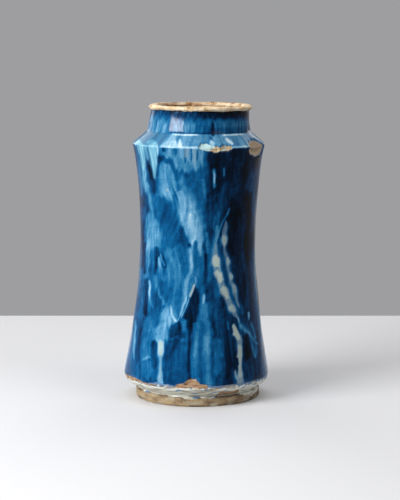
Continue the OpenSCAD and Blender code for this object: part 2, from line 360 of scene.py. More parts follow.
# Rim lip: the thin everted lip at the mouth, buff earthenware turned out over the neck.
# The glaze has worn off it all round, so it shows pale clay, brown stains and a ragged outer edge.
lip_r = lip_high.x / MM
turn = columns(640)
path = walk([(mouth_r + 1.2, lip_z), (lip_r - 1.5, lip_z), (lip_r - 0.2, lip_z + 1.0),
             (lip_r + 0.5, lip_z + 2.2), (lip_r - 0.4, lip_z + 3.4), (lip_r - 2.6, top_z),
             (mouth_r + 2.2, top_z - 0.2), (mouth_r + 0.4, top_z - 1.8),
             (mouth_r, lip_z + 1)], 0.5, 2, closed=True)
face = outward(path, closed=True)
height = path[:, 1:]
worn = 0.20 * waves(turn, height, 40, 20, 51) + 0.10 * waves(turn, height, 7, 5, 52)
worn = worn - 0.30 * smooth(1.0, 2.2, waves(turn, 0.3 * height, 12, 20, 54))
worn = worn + 0.10 * waves(turn, height, 2.8, 2.8, 57)
radius = path[:, :1] + face[:, :1] * worn
height = height + face[:, 1:] * worn
brown = 0.23 + 0.22 * waves(turn, height, 10, 3, 55) + 0.24 * waves(turn, height, 2.6, 1.8, 58)
brown = brown + (0.2 + 0.2 * np.sin(turn)) * smooth(lip_z + 1.2, lip_z + 0.2, height)
# The inner edge at the back left of the lip is painted brown: painted shade where the lip keeps the light off
# the inside.
far_left_shade = smooth(-0.3, -0.8, np.cos(turn)) * smooth(0.3, -0.2, np.sin(turn))
brown = brown + 0.8 * smooth(48, 45, radius) * far_left_shade
far_side = smooth(49.5, 47.5, radius) * smooth(0.1, -0.5, np.cos(turn))
brown = brown + 0.28 * far_side
chalky = 0.5 + 0.2 * waves(turn, height, 22, 5, 56) - 0.16 * far_side
lip_clay = earthenware("worn buff earthenware lip", ("#e2c79c", "#cfae80"), "#94683c", "#ecdcbf", 1.0, 1.0)
spun("rim-lip", turn, radius, height, "rim_lip", "bare_clay", lip_clay, stain=brown, pale=chalky)

# Inner lining: the thin clear lead glaze washed over the inside, from the floor to the mouth.
# It lets the clay show through brown, and drugs kept in the jar have darkened it.
lining_t = 0.4
rise = np.linspace(30, 244, 40)
inside_wall = np.column_stack([wall(rise) - wall_t - coats_t + 0.2, rise])
outer = np.vstack([walk([(0, floor_z), (46, floor_z), (51, 18.4), (57, 22.8), inside_wall[0]], 3.0, 1)[:-1],
                   inside_wall, walk([(55.3, 246), (mouth_r + 0.3, 256), (mouth_r + 0.3, lip_z)], 2.0)[1:]])
inner = outer[::-1] + np.column_stack([np.where(outer[::-1, 0] > 1, -lining_t, 0), np.full(len(outer), 0.3)])
inner[:, 1] = np.minimum(inner[:, 1], lip_z + 0.3)
path = np.vstack([outer, inner])
turn = columns(240)
flat = np.ones_like(turn)
lining_glaze = earthenware("brown stained lead glaze",
                           ("#6b4a2f", "#4f3623"), "#2e2018", "#e2c79c", 2.0, 0.1)
lining_glaze.node_tree.nodes["Principled BSDF"].inputs["Roughness"].default_value = 0.35
height = path[:, 1:] * flat
brown = (0.3 + 0.3 * waves(turn, height, 30, 60, 61)) * smooth(276, 266, height)
# The upper lining is pale near the mouth. It is less pale on the left: painted shade on the inside wall away
# from the light.
chalky = (1.0 - 0.4 * smooth(0.3, -0.3, np.sin(turn))) * smooth(266, 275, height)
spun("inner-lining", turn, path[:, :1] * flat, height, "inner_lining", "lining", lining_glaze,
     stain=brown, pale=chalky)

# Ground slip: the thin pale coat of tin-white slip that the whole outside was dipped in.
# It shows below the blue as a cream band on the underside, where it ran down over the foot in tongues.
rise = np.linspace(edge_z + 1, shoulder_z - 0.6, 150)
upright = np.linspace(0.05, 1, 18)
collar = neck_r + (neck_top_r - neck_r) * upright - neck_hollow * np.sin(np.pi * upright)
body = list(zip(wall(rise), rise)) + slope + list(zip(collar, neck_z + (lip_z - neck_z) * upright))
outer = walk([(foot_r + 0.1, 2.5), (foot_r + 0.1, foot_top + 0.1)] + under + body, 1.1, 1)
turn = columns(420, 0.3)
kept = (outer[:, 1] < edge_z + 6) | (np.abs(outer[:, 1] - 254) < 14) | (np.arange(len(outer)) % 6 == 0)
kept[-1] = True
face = outward(outer)[kept]
outer = outer[kept]
height = outer[:, 1:]
inside, lost = broken(turn, height)
tongue = 10.4 + 0.7 * waves(turn, 0, 22, 22, 71) + 0.3 * waves(turn, 0, 6, 6, 72)
degrees = np.degrees(turn)
tongue = tongue - 2.4 * smooth(-25, -10, degrees) * smooth(19, 14, degrees)
tongue = tongue + 5.0 * smooth(17, 21, degrees) * smooth(44, 38, degrees)
tongue = tongue - 7.0 * np.exp(-((degrees - 60) / 14) ** 2)
bare_width = 0.55 + 0.9 * smooth(-25, -45, degrees) - 0.45 * smooth(22, 40, degrees)
bare_line = smooth(1.0, 0.3, np.abs(height - 20.8 - 0.6 * waves(turn, 0, 30, 30, 73)) / bare_width
                   + 0.3 * waves(turn, height, 7, 3, 74))
inside = inside - 2 * smooth(20.5, 19.0, height)
gone = np.maximum(smooth(0.0, 1.0, tongue - height), np.maximum(smooth(-0.06, 0.12, inside), bare_line))
sunk = glaze_t + 0.05 + gone * (0.75 + lost + 1.2 * smooth(-0.02, 0.1, inside))
foot_face = smooth(foot_top + 0.8, foot_top - 0.2, height) * (outer[:, :1] > foot_r - 0.8)
sunk = np.where(foot_face > 0.5, -0.45 + 1.9 * gone, sunk)
sunk = np.vstack([sunk, sunk[::-1] + 0.35])
outer = np.vstack([outer, outer[::-1]])
face = np.vstack([face, face[::-1]])
radius = outer[:, :1] - face[:, :1] * sunk
height = outer[:, 1:] - face[:, 1:] * sunk
spots = smooth(1.0, 1.9, waves(turn, height, 20, 3.5, 75)) * smooth(23, 19, height)
spots = np.maximum(spots, smooth(19.5, 21.5, height + 0.8 * waves(turn, height, 5, 5, 76)))
dirt = 0.25 + 0.3 * waves(turn, height, 14, 4, 77) + 0.5 * smooth(9.5, 6, height)
dirt = dirt + 0.25 * smooth(-14, -6, degrees) * smooth(18, 10, degrees)
slip_coat = earthenware("tin white slip", ("#d8d9ce", "#c8cabe"), "#98917f", "#55789a", 1.2, 0.1)
slip_coat.node_tree.nodes["Principled BSDF"].inputs["Roughness"].default_value = 0.4
spun("ground-slip", turn, radius, height, "ground_slip", "slip", slip_coat, stain=dirt, pale=spots)

# Blue glaze: the thick cobalt lead glaze poured over the outside, from the lip to the bottom edge.
# It ran in the kiln: dark lobes, paler veils, turquoise drips and cream chains where it pulled thin.
# A run is its tone from 0, navy, to 1, pale, how far its sides fade, and (height, left, right) in mm.
outer = walk(under[2:] + body, 1.3, 1)
turn = columns(340, 0.45)
face = outward(outer)
height = outer[:, 1:] + 0 * turn
across = outer[:, :1] * np.sin(turn)
front = smooth(84, 68, np.abs(np.degrees(turn)))
rear = smooth(96, 112, np.abs(np.degrees(turn)))
sway = 0.03 * waves(turn, height, 45, 70, 80)
streak = waves(turn + sway, height, 10, 110, 81)
fine = waves(turn + sway, height, 4.2, 40, 82)
wander = 0.5 * waves(turn, height, 30, 26, 83) + 0.4 * waves(turn, height, 9, 14, 84)
seen = across + np.interp(height, lean_levels, lean_shifts)
combing = 1 - 0.75 * smooth(shoulder_z - 2, shoulder_z, height)
feather = 0.75 + 0.55 * smooth(-0.8, 1.2, waves(turn, height, 16, 30, 92))


def covered(run, soft, position):
    """Share of a run at every point: 1 between its sides, which are joined straight from one listed
    height to the next; the sides fade over soft mm and the ends break up into streaks."""
    level, left, right = np.array(sorted(run), float).T
    position = position + wander * min(1, soft / 4)
    tail = 1 + 1.3 * soft
    level = np.r_[level[0] - tail, level, level[-1] + tail]
    combed = height + combing * soft * min(1, soft / 4) * (0.4 * streak + 0.3 * fine)
    middle = np.interp(combed, level, np.r_[left[0], left, left[-1]] + np.r_[right[0], right, right[-1]]) / 2
    half = np.interp(combed, level, np.r_[-soft, (right - left) / 2, -soft])
    fade = soft * feather * np.interp(soft, [1.2, 2, 3], [1.0, 1.5, 2.1])
    return smooth(-0.5, 0.5, (half - np.abs(position - middle)) / fade)


def let_down(run):
    """The same run for the back of the jar: stretched and let down along the wall, moved to the left."""
    return [(rear_stretch * place - rear_drop, left - rear_shift, right - rear_shift)
            for place, left, right in run]


rear_stretch = 1.1
rear_drop = 36
rear_shift = 4
dark_side = [
    (0.10, 6, [(250, 9, 66), (240, 9, 66), (225, 10, 64), (205, 11, 62), (198, 13, 60)]),
    (0.34, 5, [(224, 52, 62), (212, 50, 60), (200, 51, 59)]),
    (0.28, 6, [(215, 25, 36), (205, 24, 36), (190, 23, 33)]),
    (0.17, 5, [(236, 34, 45), (222, 34, 45), (212, 36, 44)]),
    (0.15, 4, [(240, 48, 53), (215, 49, 53)]),
    (0.20, 6, [(203, 9, 33), (190, 9, 33), (165, 7, 24)]),
    (0.18, 5, [(196, 38, 56), (160, 31, 55), (133, 33, 54), (110, 38, 55), (88, 44, 56)]),
    (0.03, 4, [(200, 33, 40), (185, 31.5, 42), (160, 30, 41), (148, 31, 38)]),
    (0.02, 3, [(205, 47, 52), (175, 47, 53), (150, 47, 52), (138, 48, 51)]),
    (0.26, 3, [(186, 7, 11), (152, 7, 11)]),
    (0.38, 4, [(158, 11, 17), (148, 10.5, 15), (136, 11, 16), (124, 12, 19), (112, 14, 23), (100, 17, 28)]),
    (0.25, 4, [(104, 12, 27), (90, 12, 33), (75, 14, 37)]),
    (0.52, 1.8, [(230, 15.9, 18.4), (222, 15.6, 19), (213, 16.4, 18.6)]),
    (0.82, 1.2, [(227, 16.6, 17.8), (222, 16.6, 18.2), (217, 17.2, 18.2)]),
    (0.62, 1.4, [(231, 26, 27.2), (224, 26.2, 27.6)]),
    (0.35, 4, [(193, 17, 23), (181, 16.5, 22)]),
    (0.50, 2, [(184, 16.5, 19), (178, 15.5, 19), (172, 16, 18)]),
    (0.58, 2, [(176, 19, 22), (167, 17.5, 20.5), (157, 16.5, 20), (150, 16.3, 20)]),
    (0.58, 1.4, [(192, 31.2, 33), (185.5, 28.6, 30.6), (179.5, 24.6, 26.6), (171, 20.8, 23),
                 (161.4, 18.5, 20.8)]),
    (0.08, 1.4, [(190.3, 32.2, 34), (183, 29.6, 31.5), (178.2, 26.2, 28.1), (172.2, 23.6, 25.4),
                 (166, 22.4, 24)]),
    (0.50, 1.6, [(169, 9.5, 11.5), (155, 10, 12), (150, 10.5, 12)]),
    (0.30, 1.6, [(164, 21, 24), (152, 20.6, 24.8), (141, 23, 27.7), (130, 24.6, 29.6), (120, 27.8, 31.8),
                 (110, 31.6, 35.6), (100, 35.6, 38.4)]),
    (0.75, 1.4, [(89, 50.3, 52), (85, 50.5, 52.3), (82, 50.5, 51.5)]),
    (0.50, 2, [(96, 43, 45), (89, 44, 46)]),
]
upper_runs = [
    (0.20, 3, [(199, -56, -51), (190, -55, -50), (160, -55, -50.5), (130, -56, -51)]),
    (0.30, 3, [(202, -51, -46), (190, -50, -44.5), (180, -50, -44)]),
    (0.62, 4, [(222, -15, -10), (213, -15.5, -9), (205, -15, -8)]),
    (0.38, 5, [(234, -7, 8), (220, -7, 8), (200, -6, 9), (175, 2, 9)]),
    (0.55, 2, [(217, 7, 9), (210, 7, 9.5), (203, 7.5, 9)]),
    (0.64, 4, [(250, -36, 8), (244, -36, 8), (239, -34, 7), (235, -26, 5), (231, -18, 0)]),
    (0.30, 1.6, [(251, -32, -29.5), (247, -32.5, -29)]),
    (0.45, 2, [(249, -22, -18), (243, -21, -18.5)]),
    (0.30, 1.4, [(249, -11, -9), (240, -11, -8.5), (236, -10.5, -9)]),
    (0.28, 1.4, [(249, -5, -3.2), (239, -4.6, -3.2)]),
    (0.32, 1.4, [(248, 0.4, 2.4), (240, 0.6, 2.2)]),
    (0.80, 1.6, [(247, -8.5, -5), (238, -8.5, -5), (233, -8, -6)]),
    (0.76, 1.6, [(249, -2.8, 0), (238, -2.5, 0), (233, -2, -0.5)]),
    (0.74, 1.6, [(249, 3, 7), (241, 3.5, 6.5), (237, 4, 6)]),
    (0.76, 1.6, [(249, -16, -12), (241, -15.5, -12.5)]),
    (0.70, 1.6, [(249, -27.5, -23), (242, -27, -23.5)]),
    (0.62, 2, [(236, -9.5, -5), (229, -9, -5.5), (226, -8, -6.5)]),
    (0.58, 2, [(236, 0, 4), (231.5, 1, 3)]),
    (0.60, 2, [(241, -19, -14), (233, -18, -14.5), (229, -17, -15)]),
    (0.36, 2, [(241, -37, -34), (232, -37.5, -35), (222, -38, -36)]),
    (0.33, 2, [(241.5, -32.5, -28.6), (239.5, -35.3, -25.8), (236.5, -36.8, -22.9), (233, -36.8, -21),
               (229, -37, -19.5), (222, -36.5, -17.5)]),
    (0.38, 2.5, [(238, -28, -23.5), (232, -26, -21), (226, -23.5, -18.5), (217, -20, -16),
                 (210, -18, -15)]),
    (0.50, 4, [(216, -42, -36), (200, -42, -36), (180, -38, -35)]),
    (0.66, 2.2, [(235.5, -33, -28.5), (232.5, -34.6, -25.2), (229.3, -35, -23.2), (224.5, -35, -21.2),
                 (219.7, -34.7, -19.8), (216, -34.4, -18.5)]),
    (0.64, 4.5, [(220, -35, -18.5), (214.8, -34.4, -18.3), (210, -35.3, -17.2), (204, -36.5, -18)]),
    (0.70, 4, [(222, -31, -24), (213, -32, -20), (206, -32, -20)]),
    (0.37, 4, [(197, -27, -22), (192, -30, -19), (185, -32, -17), (176, -32, -14), (166, -31, -9.5),
               (157, -29, -7), (150, -28, -7)]),
    (0.46, 5, [(175, -31, -24), (150, -30, -22)]),
    (0.30, 3, [(176, -16, -12), (166, -15, -8.5), (155, -14, -6.5), (148, -12, -7)]),
    (0.60, 5, [(209, -15, -5), (202, -15, -1), (196, -14, 2.5), (190, -13, 4.5), (183, -12, 7.5),
               (173, -9, 8.5), (166, -6, 8), (158, -4, 7)]),
    (0.73, 2.5, [(207, -19, -10), (202, -17.4, -6.5), (196, -17, -3), (191, -16.5, -0.5), (186, -15.8, 2),
                 (181, -15, 3.5), (176, -13.5, 4.5), (171.5, -11.5, 5.5), (167, -9, 5.9), (162, -7, 5.9),
                 (157, -6, 5.7), (153, -5.4, 5)]),
    (0.84, 3, [(186, -9, -3), (176, -8, 0), (167, -5, 3), (158, -5, -2)]),
    (0.78, 2.4, [(162, 1, 5.5), (156, 2, 5.7), (150, 3, 5.2), (147.5, 3.5, 4.5)]),
    (0.40, 2, [(160, -2, 0.5), (153, -2.5, 1.5), (146, -2, 2.5), (138, -2, 4)]),
    (0.12, 1.4, [(157.5, -8, -5), (154, -7.5, -4)]),
    (0.28, 3, [(234, -47, -43), (222, -46.5, -38.6), (212, -46, -38), (206, -44, -38)]),
    (0.18, 2, [(231.5, -46, -43.6), (228, -46.6, -42.6), (223.5, -45.4, -41.2), (218, -44, -40.5)]),
    (0.66, 2.4, [(212, -50, -46), (205, -48, -44.5), (200, -46.5, -43.2), (190, -44.5, -41.5),
                 (181, -43, -40.5), (174, -42, -39.5)]),
    (0.66, 4, [(183, -49, -42), (178, -49, -36), (168, -49.5, -35), (158, -49, -34.5), (151, -49, -37)]),
    (0.76, 3, [(178, -43, -39), (170, -43, -37), (162, -42, -38)]),
]
lower_runs = [
    (0.52, 6, [(150, -30, -6), (120, -27, -11), (95, -24, -14), (86, -21, -16)]),
    (0.58, 4, [(152, -28, -20), (125, -27, -20), (113, -25, -20)]),
    (0.43, 5, [(152, -17, -8), (130, -16, -8)]),
    (0.78, 3, [(157, -48.5, -44), (140, -48.5, -44.5), (133, -48.5, -46), (122, -48.7, -46.7)]),
    (0.25, 1.4, [(155, -51, -49), (125, -51, -49)]),
    (0.25, 2, [(152, -39.2, -35.4), (146, -39.4, -34.6), (140.5, -40.3, -37), (134, -40.6, -37.4),
               (126, -40.8, -38.4)]),
    (0.32, 2, [(147, -33.4, -31), (140.5, -32.2, -28.6), (134, -30.8, -27.8)]),
    (0.82, 1.6, [(143, -37, -35), (137, -36.5, -33.7), (132, -35, -32.5)]),
    (0.60, 2.5, [(132, -35.5, -32), (122, -33, -30)]),
    (0.72, 1.2, [(146, -34.9, -33.5), (140.5, -33.4, -31.7), (136, -31.4, -29.6)]),
    (0.62, 2.5, [(124, -41, -38), (116, -40.5, -37), (107, -36.5, -33), (95, -29, -26)]),
    (0.38, 5, [(106, -43, -36), (86, -44, -34)]),
    (0.22, 2.5, [(118, -50.5, -47.5), (100, -51, -47.5), (86, -51, -46)]),
    (0.78, 1.4, [(119, -46.5, -44.5), (110, -46.5, -44.3), (102, -46, -44)]),
    (0.60, 2, [(102, -46, -43), (95, -44, -41)]),
    (0.18, 2, [(149, 7.5, 11), (128, 7.5, 11.5), (112, 8, 12), (104, 9, 11)]),
    (0.12, 2.5, [(115, -3, 2.5), (108, -5.5, 3), (104, -7, 3), (95, -9.5, 3), (86, -12.5, 1.5),
                 (80, -12, 0), (76, -9, -1)]),
    (0.68, 2.2, [(153, -6, -2.5), (143, -6.2, -2.3), (133, -6.3, -2.5), (128, -9, -4.5),
                 (123.5, -11.5, -6.5), (118.5, -12, -8.5), (113.7, -12.4, -9), (104, -12, -9.5),
                 (98, -13.5, -11), (90, -15.5, -13.5)]),
    (0.82, 1.2, [(108, -9.8, -8.8), (100, -12, -11), (92, -14.5, -13.6), (87, -16.5, -15.5),
                 (84, -18.5, -16.5)]),
    (0.80, 1.0, [(127, -1, 0), (121, -0.5, 0.5)]),
    (0.75, 1.0, [(106, -7.2, -6.2), (97, -10, -9), (88, -14.5, -13.3)]),
    (0.84, 1.4, [(98, -25.3, -24.2), (91, -24.3, -22.2), (86, -22, -20), (82.5, -20.5, -16.5)]),
    (0.56, 3, [(101, 4.5, 10.5), (90, 4.5, 11), (75, 2, 12)]),
    (0.76, 1.6, [(110, 6.8, 8.5), (105, 6.2, 8.7), (102, 6.3, 8)]),
    (0.33, 3, [(80, -59, -53), (40, -60, -53)]),
    (0.74, 1.4, [(76, -60.2, -58.8), (62, -61.2, -59.2), (50, -62.3, -60), (41, -62, -60)]),
    (0.50, 3, [(76, -50, -44), (62, -50, -43)]),
    (0.54, 3, [(62, -52, -44), (52, -52, -44), (46, -52, -46)]),
    (0.54, 3, [(41, -52, -42), (28, -51, -42)]),
    (0.72, 1.4, [(46.5, -48, -44), (45, -50.5, -46), (43, -52, -49.5)]),
    (0.76, 3.5, [(92, -33.5, -24), (86, -34, -23), (80, -35, -24.5), (75, -41, -26), (70, -41, -26.7),
                 (66, -42, -28), (62, -42, -35)]),
    (0.80, 2.5, [(74, -30, -27), (68, -33, -28), (63, -35.5, -31)]),
    (0.27, 2, [(62, -43, -38), (50, -43.5, -37.7), (38, -43, -38)]),
    (0.28, 2.5, [(80, -24.5, -14), (76, -26, -12), (68, -26.5, -9.5), (60, -28, -9)]),
    (0.44, 1.4, [(67.5, -24, -12), (65.5, -26, -10)]),
    (0.33, 2.5, [(63, -27, -12), (58, -30, -9), (45, -32, -9), (24, -32, -8.5)]),
    (0.25, 3, [(60, -30.5, -26), (45, -32, -26), (26, -32, -20)]),
    (0.50, 2.5, [(84, -14, -9), (76, -14, -9)]),
    (0.44, 2, [(82, -3.5, 10), (62, -3.5, 14), (40, -4, 15), (23, -4, 15)]),
    (0.58, 2, [(74, -2, 2), (60, -2.5, 1.5), (52, -2, 0)]),
    (0.55, 2.5, [(70, 7, 13), (45, 8, 14), (24, 9, 14)]),
    (0.40, 1.6, [(62, 3, 5.5), (40, 3, 6), (24, 2.5, 6)]),
    (0.16, 1.8, [(80, -8, -5.6), (60, -8, -5.4), (28, -8.2, -5.2)]),
    (0.42, 3, [(66, 16, 24), (34, 17, 24)]),
    (0.14, 3, [(80, 26, 36), (60, 28, 38.5), (40, 28, 40), (24, 27, 38)]),
    (0.45, 1.6, [(83, 29.5, 31.5), (76, 30.5, 32.5)]),
    (0.20, 3, [(44, 45, 54), (26, 46, 54)]),
    (0.07, 2.5, [(68, 45, 53), (58, 46, 54), (46, 46, 54)]),
    (0.66, 1.4, [(57, 53, 54.6), (51, 55, 57), (45, 57, 58.8)]),
    (1.00, 1.4, [(63, -37.2, -30.6), (54, -37, -31), (49, -36.5, -32)]),
    (0.80, 1.4, [(50, -36.2, -32.2), (44.4, -36, -33.2), (36.7, -36, -33.2), (31, -36.6, -32),
                 (24, -37.6, -31)]),
    (0.55, 2.5, [(79, 41.5, 45.8), (73.3, 44.9, 49.7), (69.4, 48.7, 52.5), (63.7, 51.6, 54.4),
                 (56, 54, 57.3), (48.3, 56.8, 59.7)]),
    (0.64, 1.4, [(87, 38.6, 40), (81.3, 40.8, 42.6), (75.8, 43.8, 46.6), (70, 48.4, 51.6), (64.8, 53, 55),
                 (60, 56.6, 58.4), (56, 59.4, 61)]),
    (0.56, 1.6, [(78, 52.6, 54.4), (71, 55, 57), (63, 57.2, 59)]),
]
slope_runs_and_reflection = [
    # The first slope run, pale lavender-white on the left of the slope, is a painted reflection; the others
    # are glaze colour.
    (0.84, 2.5, [(262, -24, -19.5), (257, -29.5, -21.5), (252, -33.5, -22.5)]),
    (1.00, 1.8, [(256, -21.5, -18.5), (252.5, -22.5, -17.5)]),
    (1.00, 1.6, [(257.5, -16.5, -14.8), (254, -17.5, -14), (251, -17.2, -13.5)]),
    (0.45, 1.6, [(259.5, 12.5, 16), (257.8, 13, 16.5)]),
    (0.92, 1.6, [(256.5, 13, 16), (254.8, 13, 18)]),
    (1.00, 1.6, [(258.6, 27.5, 31), (256.5, 28.5, 33.5), (254.3, 32, 35.5)]),
    (0.70, 2, [(261, 40, 50), (253, 42, 52)]),
]
# Cream runs give a strength in place of the tone, and turquoise runs a tone and a strength.
cream_runs = [
    (0.30, 2.0, [(249, -11.5, -6), (242, -11, -6.5)]),
    (0.25, 2.0, [(249, -3, 1.5), (240, -3, 1), (235, -2, 0)]),
    (0.28, 1.7, [(159, 17.9, 20.3), (151.8, 16.1, 20.5), (144.5, 15.5, 22.7), (138.5, 15.9, 23.5),
                 (132.5, 17.1, 24.2), (126.5, 18.5, 25.7), (120.5, 20.3, 27.7), (114.4, 22.7, 29.9),
                 (108.4, 24.8, 32.2), (102.4, 28.1, 34.9), (96.4, 31.3, 37.3), (90.4, 34, 39.4),
                 (84.3, 38.8, 41.8)]),
    (0.78, 2.2, [(145.5, 15.6, 22.6), (140.5, 15.8, 23), (136.8, 17, 23.6)]),
    (0.78, 2.2, [(130.4, 17.6, 24.8), (126, 18.8, 25.4), (123.2, 20.2, 26.6)]),
    (0.74, 2.2, [(115.2, 22.4, 29.4), (110, 24.4, 31.4), (106.5, 26.8, 32.8)]),
    (0.60, 2.2, [(97.8, 30.8, 36.8), (94, 32.6, 38), (91.6, 34.4, 38.8)]),
    (0.25, 1.6, [(179.5, 28.1, 29.9), (174.6, 26.5, 29.9), (168.6, 24.7, 28.7), (161.4, 24.2, 29.3),
                 (154.2, 25.3, 28.7), (147, 26.9, 29.9), (141, 28.1, 32), (136.1, 28.7, 32),
                 (131.3, 30.1, 32.8), (126.5, 30.8, 35.2), (121.7, 32, 35.2), (115.6, 34, 38.4),
                 (108.4, 35.8, 39.4), (102.4, 38.2, 41.2), (96.4, 40, 42.4)]),
    (0.58, 2.0, [(164.5, 24.4, 29), (160.5, 24.4, 29.2), (157, 25, 28.6)]),
    (0.52, 1.4, [(144, 28.2, 31.2), (140.8, 28.6, 32.6), (138.5, 29.2, 32)]),
    (0.52, 1.4, [(128.5, 31.2, 34.4), (126, 31.6, 35.8), (123.5, 32.4, 35.2)]),
    (0.46, 1.4, [(117.5, 34.4, 37.8), (114, 35.2, 39), (110.5, 36.2, 39)]),
    (0.55, 1.2, [(119, -2.6, -0.3), (114, -4.9, -2.2), (108, -6.7, -4.7)]),
    (0.78, 1.3, [(79, 35, 37.2), (75.8, 35.3, 39), (73, 35.9, 40), (70.6, 35.2, 41.2), (69, 37, 42),
                 (67, 38.3, 42.4), (65, 39.2, 42.6)]),
    (0.36, 1.6, [(69, 38.3, 43.2), (66.2, 38.6, 44), (64.1, 39.3, 44.9), (61.3, 39.6, 44.5),
                 (57, 40.1, 44.7)]),
    (0.66, 1.3, [(59, 40.4, 43.8), (57.9, 40.2, 44.5), (53.8, 40.4, 44.7), (50, 39.8, 44.6),
                 (48.3, 39, 44.5), (46.9, 40.7, 44.3), (44.1, 41.2, 44.1), (41.4, 41.5, 43.9)]),
    (0.60, 1.3, [(41, 41.5, 43.9), (39.3, 40.3, 43.7), (36, 41, 44.1), (32.8, 40.9, 44.9),
                 (29.5, 41, 45.4)]),
    (0.40, 1.6, [(31, 40.8, 45), (27.5, 39.8, 46), (24, 39, 46.7)]),
    (0.45, 1.2, [(36, 36.6, 38.2), (32, 37.6, 39.6), (28, 38.8, 40.8)]),
    (0.60, 1.6, [(62, -36.6, -31.2), (54, -36.4, -31.6), (50.5, -36, -32.4)]),
    (0.30, 1.4, [(51.5, -34.7, -33.2), (42, -34.7, -33.4), (34, -35.8, -33), (27, -37.4, -32.4)]),
    (0.36, 1.0, [(210.3, -29.4, -26), (208.7, -29, -25.6)]),
]
turquoise_runs = [
    (0.62, 0.35, 2.4, [(250, -51, -46.5), (243, -50, -46), (238, -49.5, -46)]),
    (0.85, 0.75, 2.4, [(253, -59, -53), (250, -57, -50.5), (239, -53.5, -49.5), (229, -52, -49)]),
    (0.70, 0.15, 2.4, [(230, -52.5, -49), (220, -51, -47.8), (210, -51, -46.5), (206, -49, -46.5)]),
    (0.74, 0.45, 1.8, [(254, -47, -37), (248.6, -46, -36.8), (243.7, -45.5, -36.6), (239, -44.5, -36.8),
                       (234, -43.5, -37), (229, -42, -37.2), (224.5, -40.8, -37.7), (219.7, -40, -38.7)]),
    (0.98, 0.15, 1.0, [(252, -37.4, -35.9), (247, -37.2, -35.6), (241, -37, -36)]),
]
tone = 0.45 + 0.05 * waves(turn, height, 26, 70, 85) - 0.20 * smooth(5, 25, seen) * np.maximum(front, rear)
cream = np.zeros(height.shape)
turquoise = np.zeros(height.shape)
for level, soft, run in dark_side + upper_runs + lower_runs:
    share = covered(run, soft, seen) * front + covered(let_down(run), soft, seen) * rear
    tone = tone + share * (level - tone)
slope_part = smooth(shoulder_z - 0.3, shoulder_z + 0.8, height) * smooth(neck_z + 1, neck_z - 0.6, height)
slope_tone = 0.69 + 0.025 * streak - 0.10 * smooth(22, 45, across) - 0.22 * smooth(-26, -36, across)
tone = tone + slope_part * 0.9 * (slope_tone - tone)
for level, soft, run in slope_runs_and_reflection:
    tone = tone + covered(run, soft, seen) * front * slope_part * (level - tone)
for strength, soft, run in cream_runs:
    for share, line in ((front, run), (rear, let_down(run))):
        wider = [(place, left - 0.6, right + 0.6) for place, left, right in line]
        tone = tone + 0.6 * covered(wider, 1.5 * soft, seen) * share * (0.66 - tone)
        cream = np.maximum(cream, strength * covered(line, soft, seen) * share)
for level, strength, soft, run in turquoise_runs:
    share = covered(run, soft, seen) * front
    tone = tone + share * (level + 0.05 * fine - tone)
    turquoise = np.maximum(turquoise, strength * share * (0.85 + 0.25 * np.clip(fine, -1.5, 1.5)))
rng = np.random.default_rng(90)
for level in rng.permutation(np.repeat([0.1, 0.2, 0.3, 0.62, 0.72, 0.85], 14)):
    top = rng.uniform(70, 262)
    length = rng.uniform(30, 110)
    place = rng.uniform(70, 290)
    drift = rng.normal(0, 6, 3).cumsum()
    half = rng.uniform(1.5, 9) * (0.5 if level > 0.8 else 1)
    widths = half * np.array([0.6, 1.0, 0.3])
    run = np.column_stack([[top, top - 0.4 * length, top - length], drift - widths, drift + widths]).tolist()
    off = ((turn - np.radians(place) + np.pi) % (2 * np.pi) - np.pi) * outer[:, :1]
    near = np.cos(turn - np.radians(place)) > 0
    share = covered(run, min(half, 4), off) * (1 - front) * (1 - rear) * near
    tone = tone + share * (level - tone)
    if level > 0.8:
        cream = np.maximum(cream, 0.4 * share)
turquoise = np.maximum(turquoise, slope_part * smooth(-26, -40, across) * 0.15)
# The glaze thins pale along the sharp shoulder edge all round. On the front stretches of the edge a brighter
# line is a painted highlight.
thinned_and_highlight = smooth(0.8, 0.3, np.abs(height - shoulder_z + 0.2))
thinned_and_highlight = thinned_and_highlight * smooth(-1.2, 0.6, waves(turn, height, 18, 18, 89))
edge_highlight = smooth(-36, -33, seen) * smooth(4, 1, seen) + smooth(33, 36, seen) * smooth(52, 49, seen)
thinned_and_highlight = np.maximum(thinned_and_highlight, smooth(1.3, 0.6, np.abs(height - shoulder_z - 0.2)) * edge_highlight * front)
tone = tone + 0.85 * thinned_and_highlight * (1.0 - tone)
neck_part = smooth(neck_z - 0.5, neck_z + 1.0, height)
neck_tone = 0.62 - 0.12 * smooth(-38, -22, across) - 0.12 * smooth(-8, 4, across)
neck_tone = neck_tone - 0.04 * smooth(4, 20, across) * front
# The top of the neck, under the lip, is painted darker: painted shade under the lip's overhang.
neck_tone = neck_tone - 0.34 * smooth(273.5, 281, height + 1.7 * streak + 1.2 * fine)
neck_tone = neck_tone + 0.03 * streak + 0.03 * fine
paler_band = smooth(6, 12, across) * smooth(5.5, 2, np.abs(height - 272.5))
neck_tone = neck_tone + 0.04 * front + 0.14 * paler_band * front
tone = tone + neck_part * (neck_tone - tone)
drip = covered([(273, 15.2, 17.6), (267, 14.6, 18.6), (262, 15, 18)], 1.2, seen) * front
tone = tone * (1 - 0.75 * drip)
# A thin darker line just above the foot of the neck.
neck_foot_line_and_highlight = smooth(1.0, 0.3, np.abs(height - neck_z - 1.3)) * smooth(-26, -20, across) * front
tone = tone - 0.5 * neck_foot_line_and_highlight * tone
